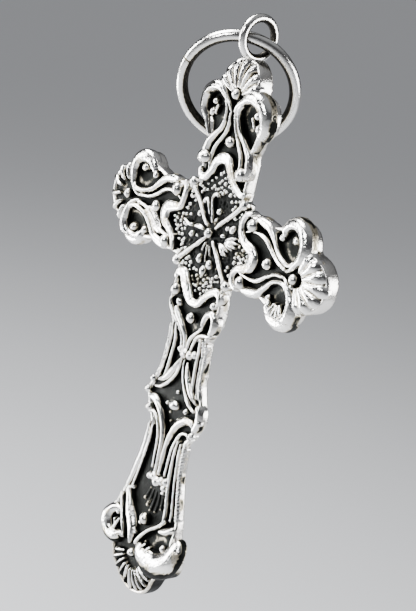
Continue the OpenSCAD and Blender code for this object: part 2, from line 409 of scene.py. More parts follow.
PATINA = (0.0065, 0.007, 0.0065)
RELIEF_SILVER = silver("relief_silver", (0.97, 0.96, 0.93), (0.62, 0.56, 0.43), PATINA, 0.1)
PLATE_SILVER = silver("plate_silver", (0.94, 0.92, 0.88), (0.5, 0.45, 0.35), PATINA, 0.2)
WIRE_SILVER = silver("wire_silver", (0.97, 0.96, 0.93), (0.5, 0.44, 0.32), (0.016, 0.015, 0.013), 0.12,
                     clouds=0.3, specks=0.7)


# ---------------------------------------------------------------- plate
LIP_H = 0.28
HOLLOW_DEPTH = 0.2
HOLLOW_R = 0.34


def plate_piece():
    """The plate: the CAD outline with rounded edges, a raised lip, domed ends and hollows in the volutes."""
    mesh = plate_copy(0.12, 8)
    co, no = read_vectors(mesh)
    u, v = co[:, 0] / MODULE, co[:, 2] / MODULE
    in_square = np.maximum(np.abs(u), np.abs(v)) < 1
    lip = np.where(in_square, 0, 1 - smooth(RIM_NEAR, RIM_FAR, edge_distance(co)))
    hollow = sum(blob(u, v, cu, cv, HOLLOW_R, HOLLOW_R) for cu, cv in volute_hollows())
    front = smooth(PLATE_T * 0.9, 0.0, co[:, 1])
    co[:, 1] -= front * (level(u, v) + LIP_H * lip - HOLLOW_DEPTH * hollow)
    co = roughened(co, no, 0.014, 0.005)
    bend = ridges(mesh, co, no)
    spots = stains(co)
    ground = 0.17 + 0.8 * lip - 0.15 * hollow + bend
    back = 0.62 - 0.2 * spots
    # Painted shade: walls are lighter where they face up, and darker where they face down and at the foot.
    wall = 0.62 + 0.2 * no[:, 2] - 0.75 * foot_shade(co) - spots
    side = np.where(no[:, 1] > 0.5, back, wall) + bend
    # Painted shade: the front lip is darkened at the foot.
    wear_and_shade = np.where(no[:, 1] < -0.35, ground - 0.85 * foot_shade(co) * lip, side)
    return place_piece(mesh, co, np.clip(wear_and_shade, 0, 1), "plate", "cross_plate", PLATE_SILVER)


def volute_hollows():
    """The middles of the hollows, two at the end of each arm and two at the foot."""
    side = [tuple(spun([[2.92, 0.68 * s]], angle)[0]) for angle in (RIGHT, TOP, LEFT) for s in (1, -1)]
    return side + [(0.9, -7.95), (-0.95, -8.05)]


# ---------------------------------------------------------------- centre square
PANEL_H = 0.12


def panel_piece():
    """The square's ground, stippled all over with a punch."""
    relief = Relief()
    n = 150
    at = np.linspace(-1.0, 1.0, n)
    u, v = np.meshgrid(at, at, indexing="ij")
    rng = np.random.default_rng(7)
    h = np.full(u.shape, PANEL_H)
    for _ in range(900):
        cu, cv = rng.uniform(-0.98, 0.98, 2)
        size = rng.uniform(0.025, 0.05)
        near = np.hypot(u - cu, v - cv) < size * 2
        h[near] += rng.uniform(-0.1, 0.06) * blob(u[near], v[near], cu, cv, size * 1.6, size * 1.6)
    h *= 1 - 0.85 * smooth(0.86, 0.99, np.maximum(np.abs(u), np.abs(v)))
    top = np.column_stack([u.ravel(), v.ravel(), h.ravel()])
    low = top.copy()
    low[:, 2] = -0.1
    faces = []
    for i in range(n - 1):
        for k in range(n - 1):
            a = i * n + k
            faces.append((a, a + n, a + n + 1, a + 1))
    rim = ([i * n for i in range(n)] + [(n - 1) * n + k for k in range(1, n)]
           + [i * n + n - 1 for i in range(n - 2, -1, -1)] + [k for k in range(n - 2, 0, -1)])
    ring = len(rim)
    points = top.tolist() + low[rim].tolist()
    base = len(top)
    for k in range(ring):
        a, b = rim[k], rim[(k + 1) % ring]
        faces.append((b, a, base + k, base + (k + 1) % ring))
    faces.append(tuple(base + k for k in range(ring)))
    relief.add(points, faces)
    return relief.piece("panel_ground", "centre_panel", PLATE_SILVER, voxel=0, dull=0.22)


def centre_pieces():
    """The boss at the crossing, the four rays and the beads at their ends."""
    boss = Relief()
    bead(boss, 0, 0, 0.44, lift=0.6, base=PANEL_H, rows=16, turns=28)
    boss.piece("boss", "centre_boss", RELIEF_SILVER)
    for name, angle in (("upper_right", 45), ("upper_left", 135), ("lower_left", 225), ("lower_right", 315)):
        ray = Relief()
        ribbon(ray, spun([[0.17, 0], [0.45, 0.012], [0.9, -0.01], [1.32, 0]], angle),
               [0.08, 0.13, 0.15, 0.15], [0.3, 0.42, 0.44, 0.52], lift=PANEL_H - 0.05)
        ray.piece("ray_bar_" + name, "ray_" + name, RELIEF_SILVER)
    beads = Relief()
    for angle in (45, 135, 225, 315):
        u, v = spun([[1.38, 0]], angle)[0]
        bead(beads, u, v, 0.46, lift=0.6)
    beads.piece("ray_end_beads", "ray_beads", RELIEF_SILVER)


def drop(relief, path, r, long=1.45):
    """A thin stem that points at a drop."""
    ribbon(relief, path[:-1], 0.05, 0.24, lift=PANEL_H - 0.02)
    (u0, v0), (u1, v1) = path[-2], path[-1]
    aim = math.degrees(math.atan2(v1 - v0, u1 - u0))
    bead(relief, u1, v1, r, lift=0.35, base=PANEL_H, long=long, angle=aim)


def sprig_top():
    """Two hooked stems and a bud."""
    sprig = Relief()
    ribbon(sprig, [[0.03, 0.24], [-0.04, 0.5], [-0.13, 0.74], [-0.13, 0.88], [-0.04, 0.94], [0.05, 0.88]],
           [0.05, 0.08, 0.1, 0.11, 0.11, 0.07], 0.38, lift=PANEL_H)
    ribbon(sprig, [[-0.44, 0.6], [-0.41, 0.71], [-0.33, 0.74], [-0.26, 0.67], [-0.2, 0.54], [-0.13, 0.4]],
           [0.08, 0.11, 0.11, 0.09, 0.07, 0.04], 0.36, lift=PANEL_H)
    bead(sprig, 0.16, 0.57, 0.28, base=PANEL_H)
    ribbon(sprig, [[0.1, 0.3], [0.14, 0.42]], 0.07, 0.3, lift=PANEL_H)
    sprig.piece("sprig_top", "spray_top", RELIEF_SILVER)


def sprig_right():
    """Three buds over a fan of small leaves."""
    sprig = Relief()
    for u, v, r, turn in ((0.56, 0.29, 0.2, 25), (0.76, 0.32, 0.29, 60), (0.44, 0.07, 0.2, 5)):
        bead(sprig, u, v, r, base=PANEL_H, long=1.5, angle=turn)
    for tip in ([0.97, 0.17], [1.02, 0.06], [0.99, -0.06], [0.9, -0.14]):
        middle = [(0.58 + tip[0]) / 2, tip[1] * 0.6]
        ribbon(sprig, [[0.58, 0.0], middle, tip], [0.07, 0.11, 0.04], [0.3, 0.38, 0.2], lift=PANEL_H)
    for tip in ([0.76, -0.22], [0.74, -0.34], [0.62, -0.38]):
        middle = [0.54, tip[1] * 0.65]
        ribbon(sprig, [[0.36, -0.11], middle, tip], [0.05, 0.1, 0.04], [0.25, 0.34, 0.2], lift=PANEL_H)
    sprig.piece("sprig_right", "spray_right", RELIEF_SILVER)


def sprig_bottom():
    """Three drops on stems."""
    sprig = Relief()
    drop(sprig, [[-0.1, -0.24], [-0.17, -0.5], [-0.18, -0.68]], 0.3)
    drop(sprig, [[0.08, -0.27], [0.16, -0.54], [0.23, -0.71]], 0.34, long=1.25)
    drop(sprig, [[0.0, -0.27], [0.03, -0.7], [0.05, -0.93]], 0.34)
    sprig.piece("sprig_bottom", "spray_bottom", RELIEF_SILVER)


def sprig_left():
    """A jointed stem among buds."""
    sprig = Relief()
    ribbon(sprig, [[-0.22, 0.02], [-0.4, 0.04], [-0.6, 0.01]], [0.07, 0.14, 0.1], 0.4, lift=PANEL_H)
    ribbon(sprig, [[-0.66, 0.0], [-0.82, -0.02], [-1.02, 0.06]], [0.12, 0.1, 0.05], 0.38, lift=PANEL_H)
    for u, v, r, turn in ((-0.67, -0.22, 0.25, 70), (-0.54, 0.32, 0.22, 100), (-0.87, 0.2, 0.15, 0),
                          (-0.48, -0.2, 0.13, 0)):
        bead(sprig, u, v, r, base=PANEL_H, long=1.3, angle=turn)
    sprig.piece("sprig_left", "spray_left", RELIEF_SILVER)


def granulation_piece():
    """Small grains that fill the outer part of each quarter and the pocket under each bracket."""
    relief = Relief()
    rng = np.random.default_rng(11)
    taken = []
    for angle in (RIGHT, TOP, LEFT, BOTTOM):
        for _ in range(620):
            along, across = rng.uniform(0.5, 1.5), rng.uniform(-0.8, 0.8)
            size = rng.uniform(0.12, 0.19)
            room = along - 0.14 if along < 1 else 0.66 - (along - 1) * 1.05
            inner = along < 0.98 and abs(across) < 0.36 + (0.98 - along) * 0.9
            if abs(across) > room or inner:
                continue
            u, v = spun([[along, across]], angle)[0]
            if any((u - a) ** 2 + (v - b) ** 2 < ((size + r) * 1.02 / MODULE) ** 2 for a, b, r in taken):
                continue
            taken.append((u, v, size))
            base = PANEL_H if max(abs(u), abs(v)) < 0.98 else 0.0
            bead(relief, u, v, size, lift=0.45, base=base, rows=8, turns=12)
    return relief.piece("grains", "granulation", RELIEF_SILVER, voxel=0, dull=-0.16)


# ---------------------------------------------------------------- brackets and beads
# Each bracket's control points: u, v and the strip's width there
BRACKETS = {
    "right": [
        [1.4, 0.88, 0.12], [1.2, 0.84, 0.17], [1.08, 0.62, 0.2], [1.12, 0.36, 0.22], [1.34, 0.18, 0.24],
        [1.6, 0.08, 0.3], [1.68, -0.08, 0.36], [1.64, -0.27, 0.32], [1.46, -0.38, 0.24],
        [1.24, -0.46, 0.2], [1.14, -0.64, 0.2], [1.22, -0.84, 0.17], [1.42, -0.92, 0.12]],
    "left": [
        [-1.3, 0.95, 0.12], [-1.17, 0.76, 0.18], [-1.19, 0.5, 0.2], [-1.27, 0.29, 0.22],
        [-1.5, 0.2, 0.28], [-1.74, 0.12, 0.36], [-1.8, -0.04, 0.38], [-1.74, -0.22, 0.32],
        [-1.58, -0.33, 0.24], [-1.4, -0.45, 0.22], [-1.25, -0.66, 0.2], [-1.26, -0.86, 0.13]],
    "top": [
        [-0.84, 1.42, 0.12], [-0.76, 1.22, 0.18], [-0.58, 1.22, 0.22], [-0.42, 1.42, 0.24],
        [-0.32, 1.64, 0.26], [-0.14, 1.78, 0.3], [0.08, 1.78, 0.3], [0.25, 1.6, 0.26], [0.4, 1.4, 0.22],
        [0.62, 1.24, 0.2], [0.84, 1.16, 0.18], [0.96, 1.26, 0.12]],
    "bottom": [
        [-0.84, -1.42, 0.13], [-0.78, -1.22, 0.22], [-0.58, -1.2, 0.34], [-0.42, -1.4, 0.38],
        [-0.26, -1.6, 0.34], [-0.06, -1.74, 0.26], [0.16, -1.7, 0.22], [0.32, -1.52, 0.22],
        [0.5, -1.34, 0.22], [0.72, -1.22, 0.22], [0.88, -1.3, 0.18], [0.88, -1.48, 0.12]],
}
BRACKET_H = 0.6


def bracket_pieces():
    """The four bracket-shaped strips that close the square, each bent a little differently."""
    for name, path in BRACKETS.items():
        relief = Relief()
        ribbon(relief, path, [p[2] for p in path], BRACKET_H, flat=3.2)
        relief.piece("bracket_strip_" + name, "bracket_" + name, RELIEF_SILVER)


def bead_pieces():
    """The balls at the square's corners, in the middle of each field and before each shell."""
    corner, field, tips = Relief(), Relief(), Relief()
    for u, v, r in ((1.48, 0.66, 0.56), (1.5, -0.7, 0.56), (-1.47, 0.64, 0.58), (-1.52, -0.68, 0.56),
                    (0.68, 1.6, 0.58), (-0.7, -1.64, 0.56), (0.74, -1.56, 0.36)):
        bead(corner, u, v, r, lift=0.75)
    bead(corner, -0.74, 1.66, 0.6, lift=0.75, long=1.35, angle=10)
    corner.piece("corner_balls", "corner_beads", RELIEF_SILVER)
    for u, v in ((2.15, -0.02), (-2.22, 0.0), (0, 2.2), (0.02, -2.12)):
        bead(field, u, v, 0.5, lift=0.4)
    field.piece("field_balls", "field_beads", RELIEF_SILVER)
    for u, v in ((3.24, 0), (-3.27, 0), (0, 3.3)):
        bead(tips, u, v, 0.46, lift=0.75)
    bead(tips, 3.2, -0.19, 0.3, lift=0.7)
    tips.piece("tip_balls", "tip_beads", RELIEF_SILVER)


# ---------------------------------------------------------------- arms
# For each arm's shell: how many ribs, the degrees between them, how fat they are and how far out they start
SHELL_RIBS = {"right": (7, 22, 1.38, 0.19), "top": (7, 21, 1.0, 0.19), "left": (6, 28, 0.72, 0.42)}
SHELL_MIDDLE = 3.25

# The volute's band at each control point: its width and its height
EAR_WIDTHS = [0.1, 0.16, 0.24, 0.34, 0.4, 0.42, 0.42, 0.4, 0.36, 0.3, 0.22, 0.16, 0.1]
EAR_HEIGHTS = [0.5, 0.62, 0.72, 0.82, 0.86, 0.88, 0.88, 0.84, 0.78, 0.7, 0.62, 0.56, 0.45]


def on_arm(path, angle, side):
    """Plan points of a path in arm places: u outwards along the arm, and v across it times side, 1 or -1."""
    p = np.array(path, float)
    p[:, 1] *= side
    return spun(p, angle)


def scroll_lines(lines, angle, side):
    """The thin inner and the bold outer line that run from the bracket to the volute."""
    thin = [[1.24, 0.42], [1.46, 0.52], [1.72, 0.54], [1.98, 0.48], [2.24, 0.3], [2.54, 0.14], [2.9, 0.08]]
    ribbon(lines, on_arm(thin, angle, side), [0.06, 0.1, 0.12, 0.13, 0.12, 0.12, 0.11], 0.52)
    bold = [[1.5, 0.84], [1.76, 0.82], [2.04, 0.75], [2.26, 0.56], [2.48, 0.35], [2.74, 0.24],
            [2.98, 0.22], [3.16, 0.33]]
    ribbon(lines, on_arm(bold, angle, side), [0.14, 0.25, 0.24, 0.18, 0.15, 0.14, 0.15, 0.16], 0.62)


def volute_band(ears, angle, side, curl, thinned, lowered):
    """The band that rises from the arm's middle and curls round the hollow."""
    path = [[2.84, 0.06], [3.04, 0.13], [3.2, 0.32]] + curl
    widths = [w * (1 - thinned) for w in EAR_WIDTHS[:len(path)]]
    heights = [h * lowered for h in EAR_HEIGHTS[:len(path)]]
    ribbon(ears, on_arm(path, angle, side), widths, heights)


def top_volute(ears, angle, side):
    """A band round two balls and a small leaf."""
    bead(ears, *on_arm([[2.99, 0.78]], angle, side)[0], 0.34, lift=0.1)
    bead(ears, *on_arm([[2.72, 0.86]], angle, side)[0], 0.36, lift=0.1, long=1.3, angle=60)
    ribbon(ears, on_arm([[2.94, 0.62], [2.8, 0.7], [2.66, 0.72]], angle, side), [0.05, 0.09, 0.05], 0.32)
    curl = arc(2.88, 0.66, 0.47, -20, 130, 7) + [[2.52, 0.98], [2.32, 0.9], [2.14, 0.8]]
    volute_band(ears, angle, side, curl, 0.24 if side == 1 else 0.0, 1.0)


def left_volute(ears, angle, side):
    """A low band round one ball, ending in another."""
    bead(ears, *on_arm([[2.94, 0.78]], angle, side)[0], 0.46, lift=-0.25, long=1.3, angle=angle + 20)
    bead(ears, *on_arm([[2.48, 0.7]], angle, side)[0], 0.32, lift=0.7)
    curl = arc(2.92, 0.68, 0.38, -25, 150, 7) + [[2.56, 0.82], [2.48, 0.7]]
    volute_band(ears, angle, side, curl, 0.12, 0.72)


def right_volute(ears, angle, side):
    """A tall band that ends in a ball, round a ball on the upper side and over fingers on the lower."""
    if side == 1:
        bead(ears, *on_arm([[2.94, 0.78]], angle, side)[0], 0.46, lift=-0.25, long=1.3, angle=angle + 20)
    bead(ears, *on_arm([[2.48, 0.7]], angle, side)[0], 0.32, lift=0.7)
    curl = arc(2.92, 0.68, 0.45, -25, 150, 7) + [[2.56, 0.82], [2.48, 0.7]]
    volute_band(ears, angle, side, curl, 0.12, 1.0)
    if side == -1:
        volute_fingers(ears, angle, side)


def volute_fingers(ears, angle, side):
    """Short ribs that reach from the band into its hollow."""
    for finger in (35, 65, 95, 125):
        root = arc(2.9, 0.72, 0.36, finger, finger, 1)[0]
        tip = arc(2.84, 0.6, 0.12, finger, finger, 1)[0]
        middle = [(root[0] + tip[0]) / 2, (root[1] + tip[1]) / 2]
        ribbon(ears, on_arm([root, middle, tip], angle, side), [0.16, 0.14, 0.08], [0.85, 0.7, 0.35])


def shell_ribs(shell, name, angle):
    """A fan of ribs around the arm's end."""
    count, bend, fat, start = SHELL_RIBS[name]
    for k in np.arange(count) - (count - 1) / 2:
        spread = math.radians(bend * k)
        long = 0.95 - 0.06 * abs(k)
        reach = (start, 0.55, 0.78, 1.0)
        rib = [[SHELL_MIDDLE + math.cos(spread) * r * long, math.sin(spread) * r * long] for r in reach]
        widths = [fat * w for w in (0.1, 0.17, 0.25, 0.26)]
        ribbon(shell, spun(rib, angle), widths, [0.42, 0.6, 0.66, 0.5])


def arm_pieces():
    """Scroll lines, a pair of volutes and a shell on each of the three short arms."""
    for name, angle, volute in (("right", RIGHT, right_volute), ("top", TOP, top_volute),
                                ("left", LEFT, left_volute)):
        lines, ears, shell = Relief(), Relief(), Relief()
        for side in (1, -1):
            scroll_lines(lines, angle, side)
            volute(ears, angle, side)
            if name == "left" and side == 1:
                # A broad worn patch between the two lines
                patch = [[2.62, 0.16], [2.36, 0.26], [2.1, 0.44], [1.82, 0.58]]
                ribbon(lines, on_arm(patch, angle, side), [0.2, 0.36, 0.36, 0.2], 0.44, flat=3.2)
        if name == "right":
            bead(shell, *on_arm([[3.56, 0.0]], angle, -1)[0], 0.62, lift=-0.3)
        shell_ribs(shell, name, angle)
        lines.piece("scroll_lines_" + name, "scrolls_" + name, RELIEF_SILVER)
        ears.piece("volute_ears_" + name, "volutes_" + name, RELIEF_SILVER)
        shell.piece("shell_ribs_" + name, "shell_" + name, RELIEF_SILVER)


# ---------------------------------------------------------------- shaft
SIDES = ((1, "right"), (-1, "left"))


def on_side(path, side):
    """A path given for the right half of the cross, kept there or mirrored to the left."""
    p = np.array(path, float)
    p[:, 0] *= side
    return p


def bow_pieces():
    """Knots of small beads where the scroll lines are tied."""
    upper, lower = Relief(), Relief()
    for u, v, r in ((-0.19, -3.0, 0.36), (-0.08, -3.1, 0.36), (0.04, -3.03, 0.5), (0.2, -3.02, 0.44),
                    (0.36, -2.95, 0.38)):
        bead(upper, u, v, r, lift=0.65)
    for u, v, r in ((-0.26, -6.44, 0.4), (-0.1, -6.38, 0.46), (0.06, -6.46, 0.5), (0.22, -6.38, 0.44),
                    (0.38, -6.34, 0.38), (0.36, -6.52, 0.36), (0.3, -6.68, 0.2)):
        bead(lower, u, v, r, lift=0.65)
    upper.piece("bow_knot_upper", "bow_upper", RELIEF_SILVER)
    lower.piece("bow_knot_lower", "bow_lower", RELIEF_SILVER)


NICKS = 22


def nicked(relief, path, width):
    """A line with shallow nicks across it, all along its length."""
    p, _ = resample(catmull(path, 8), 0.01)
    p = p[np.linspace(0, len(p) - 1, 2 * NICKS + 1).astype(int)]
    ribbon(relief, p, width, [0.5 if k % 2 else 0.38 for k in range(len(p))])


def upper_flute_piece(side, name):
    """Plain and nicked lines along the edge, from the hooks to the knop."""
    flutes = Relief()
    for k, width in enumerate((0.11, 0.07)):
        out = 0.17 * k
        path = [[0.5 + out * 0.7, -2.44], [0.48 + out, -3.0], [0.52 + out, -3.5], [0.58 + out * 1.2, -3.94]]
        ribbon(flutes, on_side(path, side), [width * 0.8, width, width, width * 0.8], 0.46)
    nicked(flutes, on_side([[0.72, -2.5], [0.74, -3.1], [0.78, -3.6], [0.88, -3.94]], side), 0.1)
    flutes.piece("flute_lines_upper_" + name, "flutes_upper_" + name, RELIEF_SILVER)


def lower_flute_piece(side, name):
    """The lines along the edge from the knop to the foot; the two sides differ."""
    flutes = Relief()
    ribbon(flutes, on_side([[0.6, -5.16], [0.62, -5.6], [0.72, -6.3], [0.9, -7.18]], side),
           [0.06, 0.09, 0.09, 0.07], 0.44)
    if name == "right":
        ribbon(flutes, [[0.5, -5.12], [0.46, -5.6], [0.5, -6.3], [0.66, -7.12], [0.72, -7.3]],
               [0.07, 0.11, 0.12, 0.12, 0.08], 0.52)
        nicked(flutes, [[0.74, -5.2], [0.79, -5.9], [0.93, -6.5], [1.08, -7.1]], 0.13)
    else:
        ribbon(flutes, [[-0.72, -5.14], [-0.76, -5.9], [-0.9, -6.5], [-1.06, -7.12]],
               [0.06, 0.16, 0.18, 0.12], 0.5)
    flutes.piece("flute_lines_lower_" + name, "flutes_lower_" + name, RELIEF_SILVER)


def hook_piece():
    """The curls just under the bottom bracket."""
    hooks = Relief()
    curl = [[0.54, -2.2], [0.54, -2.0], [0.6, -1.84], [0.75, -1.76], [0.88, -1.86], [0.9, -2.06],
            [0.84, -2.26]]
    ribbon(hooks, curl, [0.1, 0.17, 0.2, 0.22, 0.24, 0.22, 0.14], 0.62)
    ribbon(hooks, [[-0.84, -1.86], [-0.83, -2.0], [-0.74, -2.14], [-0.58, -2.24]],
           [0.08, 0.14, 0.14, 0.08], 0.55)
    bead(hooks, -0.58, -1.92, 0.34, lift=0.3, long=1.3, angle=-60)
    ribbon(hooks, [[0.94, -1.16], [0.92, -1.36], [0.8, -1.58]], [0.1, 0.16, 0.06], 0.5)
    hooks.piece("hook_curls", "shaft_hooks", RELIEF_SILVER)


def upper_scroll_piece():
    """The scroll lines that run from the hooks into the upper bow."""
    upper = Relief()
    ribbon(upper, [[0.58, -2.16], [0.42, -2.34], [0.24, -2.5], [0.1, -2.7], [0.06, -2.95]],
           [0.12, 0.15, 0.13, 0.12, 0.1], 0.6)
    ribbon(upper, [[0.9, -2.24], [0.76, -2.32], [0.54, -2.38], [0.35, -2.54], [0.24, -2.76], [0.21, -2.92]],
           [0.1, 0.14, 0.14, 0.12, 0.1, 0.09], 0.55)
    ribbon(upper, [[-0.62, -2.02], [-0.46, -2.2], [-0.27, -2.38], [-0.12, -2.56], [-0.06, -2.8],
                   [-0.04, -2.96]],
           [0.12, 0.22, 0.22, 0.18, 0.14, 0.1], 0.6)
    ribbon(upper, [[-0.78, -2.2], [-0.56, -2.32], [-0.37, -2.48], [-0.26, -2.68], [-0.21, -2.94]],
           [0.06, 0.09, 0.09, 0.08, 0.06], 0.45)
    upper.piece("scroll_lines_upper", "shaft_scrolls_upper", RELIEF_SILVER)


def swag_piece():
    """A leaf and its rib on each side, from the upper bow to the knop."""
    swags = Relief()
    rib = [[0.05, -3.16], [0.08, -3.4], [0.19, -3.7], [0.39, -3.98], [0.62, -4.17], [0.86, -4.25]]
    leaf = [[0.13, -3.2], [0.22, -3.42], [0.38, -3.7], [0.58, -3.92], [0.82, -4.08]]
    for side, _ in SIDES:
        ribbon(swags, on_side(rib, side), [0.05, 0.09, 0.11, 0.12, 0.12, 0.08], 0.5)
        ribbon(swags, on_side(leaf, side), [0.06, 0.18, 0.26, 0.22, 0.06], [0.3, 0.5, 0.55, 0.5, 0.35],
               flat=1.8)
    swags.piece("swags", "leaf_swags", RELIEF_SILVER)


def knop_piece():
    """The balls down both edges of the knop, and the drop and grains in its middle."""
    knops = Relief()
    for side, _ in SIDES:
        bead(knops, 0.96 * side, -4.1, 0.34, lift=0.8)
        bead(knops, 1.07 * side, -4.42, 0.36, lift=0.8)
        bead(knops, 0.9 * side, -4.84, 0.36, lift=0.7)
    ribbon(knops, [[0.92, -4.0], [1.02, -4.2], [1.03, -4.5], [0.92, -4.74]], [0.14, 0.24, 0.24, 0.14], 0.6)
    bead(knops, 0.08, -4.38, 0.46, lift=0.5, long=1.5, angle=12)
    for u, v, r in ((0.03, -4.06, 0.22), (0.5, -4.38, 0.28), (-0.26, -4.46, 0.18), (-0.36, -4.5, 0.13),
                    (0.0, -4.84, 0.18), (0.24, -4.7, 0.14), (-0.1, -4.64, 0.12)):
        bead(knops, u, v, r, lift=0.4)
    knops.piece("knop_balls", "knop_beads", RELIEF_SILVER)


def lower_scroll_piece():
    """The bold and the thin scroll line on each side, from the knop down to the lower bow."""
    lower = Relief()
    bold = [[0.99, -4.6], [0.8, -4.53], [0.57, -4.58], [0.35, -4.78], [0.18, -5.1], [0.09, -5.5],
            [0.07, -6.3]]
    thin = [[0.9, -4.98], [0.72, -4.88], [0.53, -4.95], [0.39, -5.18], [0.3, -5.5], [0.26, -6.25]]
    for side, _ in SIDES:
        ribbon(lower, on_side(bold, side), [0.13, 0.22, 0.25, 0.23, 0.19, 0.16, 0.11], 0.62)
        ribbon(lower, on_side(thin, side), [0.06, 0.1, 0.11, 0.1, 0.09, 0.07], 0.45)
    lower.piece("scroll_lines_lower", "shaft_scrolls_lower", RELIEF_SILVER)


def shaft_pieces():
    """All the ornament between the bottom bracket and the foot, apart from the bows."""
    for side, name in SIDES:
        upper_flute_piece(side, name)
        lower_flute_piece(side, name)
    hook_piece()
    upper_scroll_piece()
    swag_piece()
    knop_piece()
    lower_scroll_piece()


# ---------------------------------------------------------------- foot
def foot_rib_piece():
    """The small fan of low ribs in the field above the ball."""
    ribs = Relief()
    for k, v in zip(range(-2, 3), (-7.16, -7.28, -7.36, -7.3, -7.14)):
        rib = [[0.13 * k + 0.04, -6.74], [0.15 * k + 0.03, -6.95], [0.18 * k, v]]
        ribbon(ribs, rib, [0.06, 0.1, 0.12], [0.05, 0.13, 0.19], flat=1.8)
    ribs.piece("small_ribs", "foot_ribs", RELIEF_SILVER, dull=0.12)


def foot_band_piece():
    """The bands that meet in a V over the shell, with the twigs that leave them."""
    bands = Relief()
    ribbon(bands, [[-0.98, -7.08], [-0.84, -7.26], [-0.66, -7.5], [-0.42, -7.74], [-0.26, -7.96],
                   [-0.16, -8.3]],
           [0.1, 0.22, 0.26, 0.38, 0.32, 0.08], 0.62)
    bead(bands, -0.84, -7.06, 0.24, lift=0.5)
    ribbon(bands, [[-0.46, -7.6], [-0.3, -7.82], [-0.04, -7.96]], [0.2, 0.2, 0.08], 0.5)
    ribbon(bands, [[-1.14, -7.3], [-1.0, -7.5], [-0.8, -7.74], [-0.62, -8.0], [-0.44, -8.3]],
           [0.06, 0.1, 0.11, 0.1, 0.06], 0.56)
    bead(bands, -0.9, -7.12, 0.24, lift=0.6)
    ribbon(bands, [[0.8, -7.18], [0.58, -7.44], [0.36, -7.64], [0.16, -7.92], [0.02, -8.22]],
           [0.1, 0.14, 0.14, 0.16, 0.15], 0.66)
    ribbon(bands, [[1.12, -7.24], [0.9, -7.42], [0.66, -7.52]], [0.16, 0.22, 0.1], 0.6)
    bands.piece("foot_v_bands", "foot_bands", RELIEF_SILVER)


def left_foot_ear(ears):
    """A round volute with two small twigs in its hollow."""
    curl = [[-0.5, -8.3]] + arc(-0.98, -8.1, 0.36, -30, -285, 9)
    ribbon(ears, curl, [0.1, 0.24, 0.36, 0.42, 0.46, 0.46, 0.42, 0.32, 0.22, 0.12],
           [0.5, 0.6, 0.75, 0.8, 0.8, 0.8, 0.75, 0.65, 0.5, 0.4])
    bead(ears, -1.0, -7.84, 0.26, lift=0.6)
    ribbon(ears, [[-0.98, -8.32], [-0.9, -8.12], [-0.8, -7.9]], [0.16, 0.13, 0.07], 0.55)
    ribbon(ears, [[-0.92, -8.14], [-1.02, -7.98]], [0.1, 0.06], 0.5)


def right_foot_ear(ears):
    """A broad volute like a cupped leaf, with fingers along its inner edge."""
    cup = [[0.12, -8.06], [0.3, -8.26], [0.58, -8.38], [0.92, -8.34], [1.22, -8.14], [1.38, -7.9],
           [1.42, -7.64], [1.32, -7.4]]
    ribbon(ears, cup, [0.2, 0.5, 0.7, 0.7, 0.64, 0.58, 0.52, 0.36],
           [0.6, 0.85, 0.95, 0.95, 0.9, 0.8, 0.7, 0.55])
    bead(ears, 1.0, -7.82, 0.34, lift=0.5)
    bead(ears, 0.34, -7.98, 0.2, lift=0.5)
    for u, v, width in ((0.36, -8.0, 0.16), (0.54, -8.02, 0.16), (0.72, -8.08, 0.16), (0.92, -8.06, 0.14)):
        finger = [[u + 0.02, v - 0.34], [u, v - 0.12], [u + 0.05, v + 0.04]]
        ribbon(ears, finger, [width, width * 0.9, width * 0.6], [0.9, 0.75, 0.4])


def foot_shell_piece():
    """A fan of slightly curved ribs around the bottom of the cross."""
    shell = Relief()
    for k in range(-5, 5):
        spread = math.radians(-86 + 15.5 * k)
        long = 1.0 - 0.02 * abs(k) - (0.14 if k == -5 else 0)
        reach = [(r * long, spread + 0.12 * (r - 0.6)) for r in (0.4, 0.6, 0.82, 1.0)]
        rib = [[-0.02 + math.cos(turn) * r, -8.5 + math.sin(turn) * r] for r, turn in reach]
        ribbon(shell, rib, [0.05, 0.12, 0.15, 0.08], [0.4, 0.56, 0.58, 0.42])
    shell.piece("foot_shell_ribs", "foot_shell", RELIEF_SILVER)


def foot_pieces():
    """All the ornament of the foot."""
    foot_rib_piece()
    foot_band_piece()
    ears = Relief()
    left_foot_ear(ears)
    right_foot_ear(ears)
    ears.piece("foot_ears", "foot_volutes", RELIEF_SILVER)
    foot_shell_piece()
    ball = Relief()
    bead(ball, 0.02, -7.52, 0.6, lift=0.25)
    bead(ball, -0.12, -7.68, 0.3, lift=-0.1)
    ball.piece("foot_ball", "foot_bead", RELIEF_SILVER)
    shell_ball = Relief()
    bead(shell_ball, 0, -8.46, 0.46, lift=0.9)
    shell_ball.piece("foot_shell_ball", "foot_shell_bead", RELIEF_SILVER)


# ---------------------------------------------------------------- eyelet and ring
# The step of the ring's 160, counted round it, at which its two ends butt together
RING_SEAM = 57


